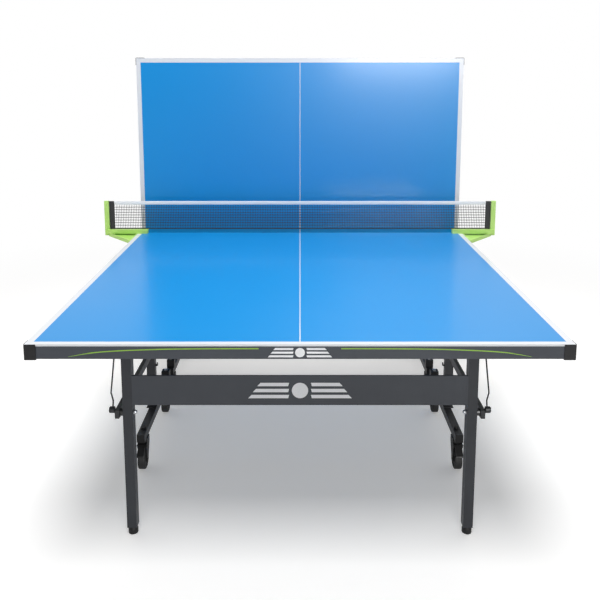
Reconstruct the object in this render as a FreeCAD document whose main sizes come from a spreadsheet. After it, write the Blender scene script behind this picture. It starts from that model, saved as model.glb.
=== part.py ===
import FreeCAD, Part
import math
import os
import re

import Sketcher

# A two-half rollaway table tennis table, one half flat and the other folded upright.
# +X is to the right and +Y away from the flat half's end. The floor is at Z = 0.
# Each piece is drawn for the flat half in a half frame: net line at Y = 0, the half along -Y.
# The right-hand side is drawn and mirrored, and group_placement puts each group where it stands.

DRIVING_SIZES = {
    # playing boards
    "table_width": 1525,
    "half_length": 1370,
    "table_height": 760,
    "board_thick": 6,
    # welded frame under each board
    "frame_depth": 36.5,
    "frame_width": 25,
    "frame_wall": 1.5,
    "frame_inset": 0.3,
    "net_rail_back": 40,
    "brace_depth": 30,
    "brace_width": 24,
    # corner caps
    "cap_length": 34,
    "cap_overhang": 2.25,
    "cap_floor": 2.5,
    "cap_sunk": 0.5,
    "cap_round": 5,
    # pivots of the fold: the main pivot on the trolley and the leg pivot
    "pivot_back": 495,
    "pivot_drop": 60,
    "leg_setback": 272,
    "link_drop": 278,
    "playback_offset": 121,
    "bolt_radius": 5,
    "nut_radius": 8,
    "nut_thick": 5,
    "run_gap": 0.1,
    "open_pivot_gap": 0.6,
    # hinge brackets
    "plate_thick": 4,
    "plate_gap": 1,
    "cheek_gap": 2,
    "plate_half": 20,
    "plate_below": 14,
    "flange_thick": 2.5,
    "flange_reach": 30,
    # legs
    "leg_inset": 195.5,
    "leg_size": 32,
    "leg_wall": 1.5,
    "leg_head": 12,
    "leg_plug": 8,
    "crosspiece_rise": 31,
    "crosspiece_tall": 99,
    "crosspiece_wall": 1.5,
    "crosspiece_deep": 6,
    "crosspiece_lip": 10,
    # levelling glides
    "glide_height": 25,
    "glide_radius": 16,
    "glide_gap": 0.5,
    "glide_stem_radius": 4,
    "glide_stem_long": 30,
    # link bars
    "link_gap": 11,
    "link_wide": 14,
    "link_deep": 28,
    "link_wall": 1.5,
    "link_tail": 19,
    # release rods
    "rod_radius": 2.5,
    "shaft_radius": 4,
    "rod_forward": 14,
    "shaft_forward": 32,
    "rod_side_gap": 11,
    "knob_radius": 10.5,
    "knob_above_link": 13.5,
    "knob_long": 14.5,
    "knob_gap": 1.5,
    # trolley
    "upright_gap": 2,
    "upright_wide": 34,
    "upright_deep": 28,
    "upright_wall": 2,
    "upright_head": 10,
    "foot_thick": 3,
    "foot_half": 40,
    "rail_inward": 6,
    "rail_size": 30,
    "rail_wall": 1.5,
    "rail_past_stem": 48,
    "rail_past_net_stem": 28,
    "rail_cap_thick": 2.5,
    "crossbar_above_rail": 51.5,
    "crossbar_tall": 30,
    "crossbar_deep": 20,
    "bumper_size": 34,
    "bumper_tall": 36,
    "bumper_bore": 11,
    "bumper_bore_deep": 14,
    "hook_below_link": 104,
    "hook_reach": 9,
    "hook_thick": 3,
    # casters
    "stem_leg_way": 205,
    "stem_net_way": 245,
    "stem_radius": 6,
    "stem_nut_radius": 9.5,
    "stem_nut_thick": 8,
    "swivel_gap": 0.5,
    "wheel_radius": 38,
    "wheel_width": 28,
    "wheel_trail": 21,
    "wheel_gap": 2,
    "fork_cheek": 3,
    "fork_crown": 42.5,
    "axle_radius": 4,
    "axle_over": 2.5,
    "pedal_width": 26,
    "pedal_pin_behind_axle": 11,
    "pedal_pin_above_wheel": 20,
    "pedal_pin_radius": 2,
    "pedal_past_wheel": 13,
    # net, posts and clamps
    "net_height": 152.5,
    "net_bottom": 18,
    "net_thick": 2,
    "post_beyond": 135.5,
    "post_wide": 21,
    "post_deep": 14,
    "post_below": 11,
    "sleeve_wide": 25,
    "sleeve_deep": 8,
    "net_gap": 0.5,
    "arm_over_board": 46.5,
    "arm_thick": 17,
    "arm_back": 4,
    "arm_wide": 28,
    "wing_reach": 164,
    "wing_thick": 15,
    "web_thick": 7,
    "rim_wide": 6,
    "jaw_gap": 0.5,
    "jaw_wall": 9,
    "jaw_length": 56,
    "jaw_back": 102,
    "jaw_floor": 8,
    "jaw_room": 20,
    "jaw_reach": 34,
    "screw_radius": 4.9,
    "screw_pad_radius": 8,
    "screw_pad_thick": 3,
    "screw_knob_radius": 15,
    "screw_knob_thick": 16,
}

# Values that follow from the driving sizes, as formulas in the same sheet.
DERIVED_SIZES = {
    "board_side": "table_width / 2",
    "board_bottom": "table_height - board_thick",
    "frame_bottom": "board_bottom - frame_depth",
    "brace_bottom": "board_bottom - brace_depth",
    "pivot_height": "table_height - pivot_drop",
    "link_height": "pivot_height - link_drop",
    "leg_back": "half_length - leg_setback",
    "middle_brace_back": "(leg_back + pivot_back) / 2",
    "leg_outer": "board_side - leg_inset",
    "leg_inner": "leg_outer - leg_size",
    "leg_centre": "leg_outer - leg_size / 2",
    "crosspiece_low": "link_height + crosspiece_rise",
    "crosspiece_high": "crosspiece_low + crosspiece_tall",
    "link_inner": "leg_outer + link_gap",
    "link_outer": "link_inner + link_wide",
    "upright_inner": "link_outer + upright_gap",
    "upright_outer": "upright_inner + upright_wide",
    "rail_inner": "upright_inner - rail_inward",
    "rail_centre": "rail_inner + rail_size / 2",
    "rail_low": "2 * wheel_radius + fork_crown",
    "rail_top": "rail_low + rail_size",
    "stem_leg_end": "pivot_back + stem_leg_way",
    "stem_net_end": "pivot_back - stem_net_way",
    "rail_leg_end": "stem_leg_end + rail_past_stem",
    "rail_net_end": "stem_net_end - rail_past_net_stem",
    "crossbar_height": "rail_top + crossbar_above_rail",
    "hook_height": "link_height - hook_below_link",
    "fork_width": "wheel_width + wheel_gap + 2 * fork_cheek",
    "pedal_pin_back": "wheel_trail + pedal_pin_behind_axle",
    "pedal_pin_height": "2 * wheel_radius + pedal_pin_above_wheel",
    "pedal_reach": "wheel_trail + wheel_radius + pedal_past_wheel",
    "post_inner": "board_side + post_beyond",
    "arm_inner": "board_side - arm_over_board",
    "screw_inset": "frame_inset + frame_width / 2",
    "near_reach": "half_length + cap_overhang",
    "far_reach": "playback_offset - pivot_back + stem_leg_end + pedal_reach",
    "net_line": "(near_reach - far_reach) / 2",
}

knob_scallops = 6
hex_sides = 6

doc = FreeCAD.newDocument("table")
sheet = doc.addObject("Spreadsheet::Sheet", "Sizes")
nodes = []


def fill_sheet():
    known = set(DRIVING_SIZES) | set(DERIVED_SIZES)
    rows = list(DRIVING_SIZES.items()) + list(DERIVED_SIZES.items())
    for row, (alias, value) in enumerate(rows, start=1):
        text = str(value)
        if alias in DERIVED_SIZES:
            text = "=" + text
        sheet.set(f"A{row}", alias)
        sheet.set(f"B{row}", text)
        sheet.setAlias(f"B{row}", alias)
    doc.recompute()
    return known


ALIASES = fill_sheet()


def with_sheet(formula):
    """The formula with each size's name pointed at its cell."""
    def point(word):
        return f"Sizes.{word.group()}" if word.group() in ALIASES else word.group()
    return re.sub(r"[a-z][a-z_]*[a-z]", point, str(formula))


def bind(thing, field, formula):
    thing.setExpression(field, with_sheet(formula))


def size(alias):
    return float(sheet.get(alias))


# Part primitives and booleans --------------------------------------------------------------

def box(name, x, y, z):
    """A block between two formulas along each axis."""
    block = doc.addObject("Part::Box", name)
    for field, place, (low, high) in zip(("Length", "Width", "Height"), "xyz", (x, y, z)):
        bind(block, field, f"({high}) - ({low})")
        bind(block, f"Placement.Base.{place}", low)
    return block


def tube(name, x, y, z, wall, along):
    """A square tube open at both ends along one axis."""
    spans = dict(zip("xyz", (x, y, z)))
    inner = {}
    for axis, (low, high) in spans.items():
        out = "-" if axis == along else "+"
        back = "+" if axis == along else "-"
        inner[axis] = (f"({low}) {out} ({wall})", f"({high}) {back} ({wall})")
    outside = box(name + "_outside", x, y, z)
    inside = box(name + "_inside", inner["x"], inner["y"], inner["z"])
    return cut(name, outside, [inside])


def rod_x(name, x, y, z, radius):
    """A round bar along X between two formulas."""
    bar = doc.addObject("Part::Cylinder", name)
    bar.Placement = FreeCAD.Placement(FreeCAD.Vector(), FreeCAD.Rotation(FreeCAD.Vector(0, 1, 0), 90))
    bind(bar, "Radius", radius)
    bind(bar, "Height", f"({x[1]}) - ({x[0]})")
    for place, formula in zip("xyz", (x[0], y, z)):
        bind(bar, f"Placement.Base.{place}", formula)
    return bar


def rod_z(name, x, y, z, radius):
    """An upright round bar between two formulas."""
    bar = doc.addObject("Part::Cylinder", name)
    bind(bar, "Radius", radius)
    bind(bar, "Height", f"({z[1]}) - ({z[0]})")
    for place, formula in zip("xyz", (x, y, z[0])):
        bind(bar, f"Placement.Base.{place}", formula)
    return bar


def nut_x(name, x, y, z, radius):
    """A hexagon prism along X."""
    nut = doc.addObject("Part::Prism", name)
    nut.Polygon = hex_sides
    nut.Placement = FreeCAD.Placement(FreeCAD.Vector(), FreeCAD.Rotation(FreeCAD.Vector(0, 1, 0), 90))
    bind(nut, "Circumradius", radius)
    bind(nut, "Height", f"({x[1]}) - ({x[0]})")
    for place, formula in zip("xyz", (x[0], y, z)):
        bind(nut, f"Placement.Base.{place}", formula)
    return nut


def ball(name, x, y, z, radius):
    sphere = doc.addObject("Part::Sphere", name)
    bind(sphere, "Radius", radius)
    for place, formula in zip("xyz", (x, y, z)):
        bind(sphere, f"Placement.Base.{place}", formula)
    return sphere


def fuse(name, pieces):
    joined = doc.addObject("Part::MultiFuse", name)
    joined.Shapes = pieces
    joined.Refine = True
    return joined


def cut(name, base, tools):
    """The base with every tool taken out of it."""
    for number, tool in enumerate(tools, start=1):
        left = doc.addObject("Part::Cut", name if number == len(tools) else f"{name}_cut{number}")
        left.Base = base
        left.Tool = tool
        base = left
    return base


def mirrored(name, piece):
    copy = doc.addObject("Part::Mirroring", name)
    copy.Source = piece
    copy.Normal = FreeCAD.Vector(1, 0, 0)
    return copy


def group(name, pieces):
    """Separate solids in one node."""
    together = doc.addObject("Part::Compound", name)
    together.Links = pieces
    return together


def both_sides(name, pieces):
    copies = [mirrored(f"{piece.Name}_left", piece) for piece in pieces]
    return group(name, pieces + copies)


# PartDesign bodies -------------------------------------------------------------------------

def new_body(name):
    return doc.addObject("PartDesign::Body", name)


def origin_feature(body, role):
    return next(f for f in body.Origin.OriginFeatures if f.Role == role)


def new_sketch(body, name, plane, offset=None):
    """A sketch on an origin plane, its own origin moved by the offset formulas."""
    sketch = body.newObject("Sketcher::SketchObject", name)
    sketch.AttachmentSupport = [(origin_feature(body, plane), "")]
    sketch.MapMode = "FlatFace"
    for place, formula in (offset or {}).items():
        bind(sketch, f"AttachmentOffset.Base.{place}", formula)
    return sketch


def add_loop(sketch, corners):
    """A closed outline with each corner held at its two formulas."""
    first = sketch.GeometryCount
    count = len(corners)
    around = [2 * math.pi * i / count for i in range(count)]
    points = [FreeCAD.Vector(50 * math.cos(a), 50 * math.sin(a), 0) for a in around]
    for i in range(count):
        sketch.addGeometry(Part.LineSegment(points[i], points[(i + 1) % count]), False)
    for i in range(count):
        following = first + (i + 1) % count
        sketch.addConstraint(Sketcher.Constraint("Coincident", first + i, 2, following, 1))
    for i, (across, up) in enumerate(corners):
        hold(sketch, "DistanceX", first + i, 1, points[i].x, across)
        hold(sketch, "DistanceY", first + i, 1, points[i].y, up)


def hold(sketch, kind, item, point, now, formula):
    number = sketch.addConstraint(Sketcher.Constraint(kind, -1, 1, item, point, now))
    bind(sketch, f"Constraints[{number}]", formula)


def add_circle(sketch, across, up, radius):
    item = sketch.addGeometry(Part.Circle(FreeCAD.Vector(9, 9, 0), FreeCAD.Vector(0, 0, 1), 3), False)
    hold(sketch, "DistanceX", item, 3, 9, across)
    hold(sketch, "DistanceY", item, 3, 9, up)
    number = sketch.addConstraint(Sketcher.Constraint("Radius", item, 3.0))
    bind(sketch, f"Constraints[{number}]", radius)


def rectangle(across, up):
    return [(across[0], up[0]), (across[1], up[0]), (across[1], up[1]), (across[0], up[1])]


def pad(body, sketch, length, both_ways=False):
    feature = body.newObject("PartDesign::Pad", sketch.Name + "_pad")
    feature.Profile = sketch
    bind(feature, "Length", length)
    if both_ways:
        feature.SideType = "Symmetric"
    return feature


def pocket(body, sketch, length, both_ways=True):
    """A pocket, checked to have taken something away."""
    doc.recompute()
    before = body.Shape.Volume
    feature = body.newObject("PartDesign::Pocket", sketch.Name + "_pocket")
    feature.Profile = sketch
    bind(feature, "Length", length)
    if both_ways:
        feature.SideType = "Symmetric"
    doc.recompute()
    if body.Shape.Volume >= before:
        raise RuntimeError(f"{feature.Name} cuts nothing")
    return feature


def revolve(body, sketch, axis):
    feature = body.newObject("PartDesign::Revolution", sketch.Name + "_turned")
    feature.Profile = sketch
    feature.ReferenceAxis = (sketch, [axis])
    feature.Angle = 360
    return feature


# Where each group stands -------------------------------------------------------------------

TURNED = FreeCAD.Rotation(FreeCAD.Vector(0, 0, 1), 180)
UPRIGHT = FreeCAD.Rotation(FreeCAD.Vector(1, 0, 0), 90).multiply(TURNED)
FAR_GROUPS = {
    "trolley": (TURNED, "net_line + playback_offset - pivot_back", "0"),
    "top": (UPRIGHT, "net_line + playback_offset + pivot_height", "pivot_height - pivot_back"),
    "link": (UPRIGHT, "net_line + playback_offset + link_height", "link_height - pivot_back"),
    "leg": (TURNED, "net_line + playback_offset - leg_back", "leg_back - pivot_back"),
}


def finish_node(piece, label, half, where):
    """Names a finished node and puts it where its group stands."""
    piece.Label = label
    if half == "near":
        bind(piece, "Placement.Base.y", "net_line")
    else:
        rotation, along, up = FAR_GROUPS[where]
        piece.Placement = FreeCAD.Placement(FreeCAD.Vector(), rotation)
        bind(piece, "Placement.Base.y", along)
        bind(piece, "Placement.Base.z", up)
    nodes.append(piece)


def finish_turned_node(piece, label, half, where, side, x, y, z="0"):
    """The same for a piece drawn about its own upright axis; side is -1 for left and 1 for right."""
    piece.Label = label
    bind(piece, "Placement.Base.x", f"{side} * ({x})")
    if half == "near":
        bind(piece, "Placement.Base.y", f"net_line + ({y})")
        bind(piece, "Placement.Base.z", z)
    else:
        _, along, up = FAR_GROUPS[where]
        piece.Placement = FreeCAD.Placement(piece.Placement.Base, TURNED)
        bind(piece, "Placement.Base.y", f"{along} - ({y})")
        bind(piece, "Placement.Base.z", f"{up} + ({z})")
    nodes.append(piece)


# The tops ----------------------------------------------------------------------------------

def build_board(half):
    name = f"{half}_top_board"
    body = new_body(name)
    outline = new_sketch(body, name + "_outline", "XY_Plane", {"z": "board_bottom"})
    add_loop(outline, rectangle(("-board_side", "board_side"), ("-half_length", "0")))
    pad(body, outline, "board_thick")
    finish_node(body, name, half, "top")


def build_apron(half):
    name = f"{half}_end_apron"
    body = new_body(name)
    section = new_sketch(body, name + "_section", "YZ_Plane")
    front = "-half_length + frame_inset"
    back = "-half_length + frame_inset + frame_width"
    add_loop(section, rectangle((front, back), ("frame_bottom", "board_bottom")))
    hollow_across = (front + " + frame_wall", back + " - frame_wall")
    add_loop(section,
             rectangle(hollow_across, ("frame_bottom + frame_wall", "board_bottom - frame_wall")))
    pad(body, section, "table_width - 2 * frame_inset", both_ways=True)
    finish_node(body, name, half, "top")


def build_frame(half):
    """Side rails, net rail and cross braces, each its own tube."""
    name = f"{half}_side_frame"
    deep = ("frame_bottom", "board_bottom")
    inner_side = "board_side - frame_inset - frame_width"
    side_rail = tube(name + "_side_rail", (inner_side, "board_side - frame_inset"),
                     ("-half_length + frame_inset + frame_width", "-net_rail_back"), deep, "frame_wall",
                     "y")
    across = (f"-({inner_side})", inner_side)
    net_rail = tube(name + "_net_rail", across,
                    ("-net_rail_back - frame_width", "-net_rail_back"), deep, "frame_wall", "x")
    braces = []
    for number, back in enumerate(("leg_back", "middle_brace_back", "pivot_back"), start=1):
        span = (f"-{back} - brace_width / 2", f"-{back} + brace_width / 2")
        braces.append(tube(f"{name}_brace{number}", across, span,
                           ("brace_bottom", "board_bottom"), "frame_wall", "x"))
    rails = [side_rail, mirrored(name + "_left_rail", side_rail)]
    finish_node(group(name, rails + [net_rail] + braces), name, half, "top")


def build_caps(half):
    name = f"{half}_corner_caps"
    body = new_body(name + "_right")
    outline = new_sketch(body, name + "_outline", "XY_Plane", {"z": "frame_bottom - cap_floor"})
    outer_x = "board_side + cap_overhang"
    outer_y = "-half_length - cap_overhang"
    add_loop(outline,
             rectangle((outer_x + " - cap_length", outer_x), (outer_y, outer_y + " + cap_length")))
    block = pad(body, outline, "frame_depth + cap_floor + board_thick - cap_sunk")
    doc.recompute()
    corner = FreeCAD.Vector(size("board_side") + size("cap_overhang"),
                            -size("half_length") - size("cap_overhang"))
    rounded = body.newObject("PartDesign::Fillet", name + "_round")
    rounded.Base = (block, [upright_edge(block.Shape, corner)])
    bind(rounded, "Radius", "cap_round")
    room = new_sketch(body, name + "_room", "XY_Plane", {"z": "table_height"})
    add_loop(room, rectangle((outer_x + " - 2 * cap_length", "board_side"),
                             ("-half_length", "-half_length + 2 * cap_length")))
    pocket(body, room, "frame_depth + board_thick", both_ways=False)
    finish_node(both_sides(name, [body]), name, half, "top")


def upright_edge(shape, corner):
    """The name of the upright edge nearest a corner."""
    def far(numbered):
        middle = numbered[1].CenterOfMass
        flat = math.hypot(middle.x - corner.x, middle.y - corner.y)
        return flat
    return f"Edge{min(enumerate(shape.Edges, start=1), key=far)[0]}"


def build_brackets(half):
    """On each side, the plate at the main pivot and the fork over the leg."""
    name = f"{half}_hinge_brackets"
    plate_in = "upright_outer + plate_gap"
    plate_out = "upright_outer + plate_gap + plate_thick"
    low = "pivot_height - plate_below"
    main_y = ("-pivot_back - plate_half", "-pivot_back + plate_half")
    plate = box(name + "_plate", (plate_in, plate_out), main_y, (low, "brace_bottom"))
    flange = box(name + "_flange", (plate_in, plate_out + " + flange_reach"), main_y,
                 ("brace_bottom - flange_thick", "brace_bottom"))
    bore = rod_x(name + "_bore", (plate_in + " - 1", plate_out + " + 1"), "-pivot_back", "pivot_height",
                 "bolt_radius + run_gap")
    main = cut(name + "_main", fuse(name + "_main_whole", [plate, flange]), [bore])
    leg_y = ("-leg_back - plate_half", "-leg_back + plate_half")
    outside = box(name + "_fork_outside",
                  ("leg_inner - cheek_gap - plate_thick", "leg_outer + cheek_gap + plate_thick"),
                  leg_y, (low, "brace_bottom"))
    inside = box(name + "_fork_inside", ("leg_inner - cheek_gap", "leg_outer + cheek_gap"),
                 ("-leg_back - plate_half - 1", "-leg_back + plate_half + 1"),
                 (low + " - 1", "brace_bottom - flange_thick"))
    leg_bore = rod_x(name + "_fork_bore",
                     ("leg_inner - cheek_gap - plate_thick - 1",
                      "leg_outer + cheek_gap + plate_thick + 1"),
                     "-leg_back", "pivot_height", "bolt_radius + run_gap")
    fork = cut(name + "_fork", outside, [inside, leg_bore])
    finish_node(both_sides(name, [main, fork]), name, half, "top")


# The legs ----------------------------------------------------------------------------------

def build_legs(half):
    name = f"{half}_leg_tubes"
    body = new_body(name + "_right")
    section = new_sketch(body, name + "_section", "XY_Plane", {"z": "glide_height"})
    wide = ("leg_inner", "leg_outer")
    deep = ("-leg_back - leg_size / 2", "-leg_back + leg_size / 2")
    add_loop(section, rectangle(wide, deep))
    add_loop(section, rectangle(("leg_inner + leg_wall", "leg_outer - leg_wall"),
                                ("-leg_back - leg_size / 2 + leg_wall",
                                 "-leg_back + leg_size / 2 - leg_wall")))
    pad(body, section, "pivot_height + leg_head - glide_height")
    plug = new_sketch(body, name + "_plug", "XY_Plane", {"z": "glide_height"})
    add_loop(plug, rectangle(wide, deep))
    add_circle(plug, "leg_centre", "-leg_back", "glide_stem_radius + run_gap")
    pad(body, plug, "leg_plug")
    bores = new_sketch(body, name + "_bores", "YZ_Plane")
    add_circle(bores, "-leg_back", "pivot_height", "bolt_radius + run_gap")
    add_circle(bores, "-leg_back", "link_height", "bolt_radius + run_gap")
    pocket(body, bores, "2 * leg_outer + leg_size")
    finish_node(both_sides(name, [body]), name, half, "leg")


def build_crosspiece(half):
    """A pressed plate with hemmed edges, flush with the front of the legs."""
    name = f"{half}_leg_crosspiece"
    body = new_body(name)
    section = new_sketch(body, name + "_section", "YZ_Plane")
    front = "-leg_back - leg_size / 2"
    back = "-leg_back - leg_size / 2 + crosspiece_deep"
    low, high, wall = "crosspiece_low", "crosspiece_high", "crosspiece_wall"
    add_loop(section, [
        (front, low), (back, low), (back, f"{low} + crosspiece_lip"),
        (f"{back} - {wall}", f"{low} + crosspiece_lip"), (f"{back} - {wall}", f"{low} + {wall}"),
        (f"{front} + {wall}", f"{low} + {wall}"), (f"{front} + {wall}", f"{high} - {wall}"),
        (f"{back} - {wall}", f"{high} - {wall}"), (f"{back} - {wall}", f"{high} - crosspiece_lip"),
        (back, f"{high} - crosspiece_lip"), (back, high), (front, high),
    ])
    pad(body, section, "2 * leg_inner", both_ways=True)
    finish_node(body, name, half, "leg")


def build_glide(half, side, side_name):
    name = f"{half}_leg_glide_{side_name}"
    body = new_body(name)
    section = new_sketch(body, name + "_section", "XZ_Plane")
    top = "glide_height - glide_gap"
    add_loop(section, [
        ("0", "0"), ("glide_radius - 1.5", "0"), ("glide_radius", "1.5"),
        ("glide_radius", "0.6 * glide_height"),
        ("glide_radius - 3", top), ("glide_stem_radius", top),
        ("glide_stem_radius", "glide_height + glide_stem_long"), ("0", "glide_height + glide_stem_long"),
    ])
    revolve(body, section, "V_Axis")
    finish_turned_node(body, name, half, "leg", side, "leg_centre", "-leg_back")


def build_leg_bolts(half):
    """Leg pivot bolts, and the link bolts with an acorn nut inside and a spacer to the bar."""
    name = f"{half}_leg_bolts"
    inner = "leg_inner - cheek_gap - plate_thick"
    outer = "leg_outer + cheek_gap + plate_thick"
    top = fuse(name + "_pivot", [
        rod_x(name + "_pivot_bolt", (inner + " - nut_thick", outer + " + nut_thick"), "-leg_back",
              "pivot_height", "bolt_radius"),
        nut_x(name + "_pivot_head", (outer, outer + " + nut_thick"), "-leg_back", "pivot_height",
              "nut_radius"),
        nut_x(name + "_pivot_nut", (inner + " - nut_thick", inner), "-leg_back", "pivot_height",
              "nut_radius"),
    ])
    low = fuse(name + "_link", [
        rod_x(name + "_link_bolt", ("leg_inner - nut_thick", "link_outer"), "-leg_back", "link_height",
              "bolt_radius"),
        nut_x(name + "_link_nut", ("leg_inner - nut_thick", "leg_inner"), "-leg_back", "link_height",
              "nut_radius"),
        ball(name + "_acorn", "leg_inner - nut_thick", "-leg_back", "link_height", "0.8 * nut_radius"),
        rod_x(name + "_spacer", ("leg_outer", "link_inner - run_gap"), "-leg_back", "link_height",
              "1.5 * nut_radius"),
    ])
    finish_node(both_sides(name, [top, low]), name, half, "leg")


def build_links(half):
    name = f"{half}_link_bars"
    body = new_body(name + "_right")
    section = new_sketch(body, name + "_section", "YZ_Plane", {"z": "link_inner"})
    end = "-leg_back - link_tail"
    start = "-pivot_back + link_deep / 2 + 4"
    add_loop(section,
             rectangle((end, start), ("link_height - link_deep / 2", "link_height + link_deep / 2")))
    pad(body, section, "link_wide")
    room = new_sketch(body, name + "_room", "YZ_Plane", {"z": "link_inner + link_wide / 2"})
    add_loop(room, rectangle((end + " + link_wall", start + " - link_wall"),
                             ("link_height - link_deep / 2 + link_wall",
                              "link_height + link_deep / 2 - link_wall")))
    bores = new_sketch(body, name + "_bores", "YZ_Plane")
    add_circle(bores, "-leg_back", "link_height", "bolt_radius + open_pivot_gap")
    add_circle(bores, "-pivot_back", "link_height", "bolt_radius + run_gap")
    pocket(body, room, "link_wide - 2 * link_wall")
    pocket(body, bores, "2 * link_outer + link_wide")
    finish_node(both_sides(name, [body]), name, half, "link")


def build_release(half):
    """A cross shaft, the two bent rods and their knobs, all turning a latch together."""
    name = f"{half}_release_linkage"
    rod_x_at = "leg_outer + rod_side_gap"
    shaft_y = "-leg_back - shaft_forward"
    rod_y = "-leg_back - rod_forward"
    knob_z = "link_height + knob_above_link"
    shaft = rod_x(name + "_shaft", (f"-({rod_x_at}) + rod_radius", f"{rod_x_at} - rod_radius"), shaft_y,
                  "pivot_height", "shaft_radius")
    knob = rod_x(name + "_knob", ("link_outer + knob_gap", "link_outer + knob_gap + knob_long"),
                 rod_y + " + rod_radius", knob_z, "knob_radius")
    grip = rod_x(name + "_grip",
                 ("link_outer + knob_gap + knob_long", "link_outer + knob_gap + knob_long + 2"),
                 rod_y + " + rod_radius", knob_z, "0.8 * knob_radius")
    route = [
        (rod_x_at, shaft_y, "pivot_height"),
        (rod_x_at, rod_y, "pivot_height"),
        ("link_outer + 10", rod_y, "link_height + 72"),
        ("link_outer + knob_gap + rod_radius", rod_y, "link_height + 46"),
        ("link_outer + 6", rod_y, "link_height + 22"),
    ]
    side = fuse(name + "_right", [bent_rod(name + "_rod", route, "rod_radius"), knob, grip])
    finish_node(group(name, [shaft, side, mirrored(name + "_left", side)]), name, half, "leg")


def bent_rod(name, route, radius):
    """Round wire through the points of a route, with a ball at each bend."""
    points = [FreeCAD.Vector(*(number(text) for text in point)) for point in route]
    thick = number(radius)
    wire = Part.makeSphere(thick, points[0])
    for start, end in zip(points, points[1:]):
        run = end - start
        wire = wire.fuse(Part.makeCylinder(thick, run.Length, start, run))
        wire = wire.fuse(Part.makeSphere(thick, end))
    piece = doc.addObject("Part::Feature", name)
    piece.Shape = wire.removeSplitter()
    return piece


def number(formula):
    """A sum of sizes and plain numbers, read from the sheet."""
    total = 0.0
    for sign, term in re.findall(r"([+-]?)\s*([a-z_]+|[0-9.]+)", formula):
        value = size(term) if term in ALIASES else float(term)
        total += -value if sign == "-" else value
    return total


# The trolleys ------------------------------------------------------------------------------

def build_rails(half):
    name = f"{half}_trolley_rails"
    body = new_body(name + "_right")
    section = new_sketch(body, name + "_section", "XZ_Plane", {"z": "rail_net_end"})
    add_loop(section, rectangle(("rail_inner", "rail_inner + rail_size"), ("rail_low", "rail_top")))
    add_loop(section, rectangle(("rail_inner + rail_wall", "rail_inner + rail_size - rail_wall"),
                                ("rail_low + rail_wall", "rail_top - rail_wall")))
    pad(body, section, "rail_leg_end - rail_net_end")
    bores = new_sketch(body, name + "_bores", "XY_Plane")
    add_circle(bores, "rail_centre", "-stem_leg_end", "stem_radius + run_gap")
    add_circle(bores, "rail_centre", "-stem_net_end", "stem_radius + run_gap")
    pocket(body, bores, "2 * rail_top + rail_size")
    finish_node(both_sides(name, [body]), name, half, "trolley")


def build_uprights(half):
    name = f"{half}_trolley_uprights"
    deep = ("-pivot_back - upright_deep / 2", "-pivot_back + upright_deep / 2")
    post = tube(name + "_post", ("upright_inner", "upright_outer"), deep,
                ("rail_top + foot_thick", "pivot_height + upright_head"), "upright_wall", "z")
    foot = box(name + "_foot", ("rail_inner", "upright_outer"),
               ("-pivot_back - foot_half", "-pivot_back + foot_half"),
               ("rail_top", "rail_top + foot_thick"))
    through = ("upright_inner - 1", "upright_outer + 1")
    bores = [
        rod_x(name + "_pivot_bore", through, "-pivot_back", "pivot_height", "bolt_radius + run_gap"),
        rod_x(name + "_link_bore", through, "-pivot_back", "link_height", "bolt_radius + run_gap"),
    ]
    bored = cut(name + "_bored", fuse(name + "_whole", [post, foot]), bores)
    finish_node(both_sides(name, [bored]), name, half, "trolley")


def build_crossbar(half):
    name = f"{half}_trolley_crossbar"
    bar = tube(name, ("-upright_inner", "upright_inner"),
               ("-pivot_back - crossbar_deep / 2", "-pivot_back + crossbar_deep / 2"),
               ("crossbar_height - crossbar_tall / 2", "crossbar_height + crossbar_tall / 2"),
               "upright_wall", "x")
    finish_node(bar, name, half, "trolley")


def build_rail_caps(half):
    """End caps, the block over the net-end stem and a small hook on the upright."""
    name = f"{half}_rail_caps"
    wide = ("rail_inner", "rail_inner + rail_size")
    tall = ("rail_low", "rail_top")
    caps = [
        box(name + "_leg_end", wide, ("-rail_leg_end - rail_cap_thick", "-rail_leg_end"), tall),
        box(name + "_net_end", wide, ("-rail_net_end", "-rail_net_end + rail_cap_thick"), tall),
    ]
    half_block = "bumper_size / 2"
    block = box(name + "_block", (f"rail_centre - {half_block}", f"rail_centre + {half_block}"),
                (f"-stem_net_end - {half_block}", f"-stem_net_end + {half_block}"),
                ("rail_top", "rail_top + bumper_tall"))
    bore = rod_z(name + "_block_bore", "rail_centre", "-stem_net_end",
                 ("rail_top - 1", "rail_top + bumper_bore_deep"),
                 "bumper_bore")
    tip = "upright_inner - hook_reach"
    hook = fuse(name + "_hook", [
        box(name + "_hook_arm", (tip, "upright_inner"), ("-pivot_back - 6", "-pivot_back + 6"),
            ("hook_height - hook_thick", "hook_height")),
        box(name + "_hook_tip", (tip, tip + " + hook_thick"), ("-pivot_back - 6", "-pivot_back + 6"),
            ("hook_height", "hook_height + hook_reach")),
    ])
    pieces = caps + [cut(name + "_bumper", block, [bore]), hook]
    finish_node(both_sides(name, pieces), name, half, "trolley")


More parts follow.
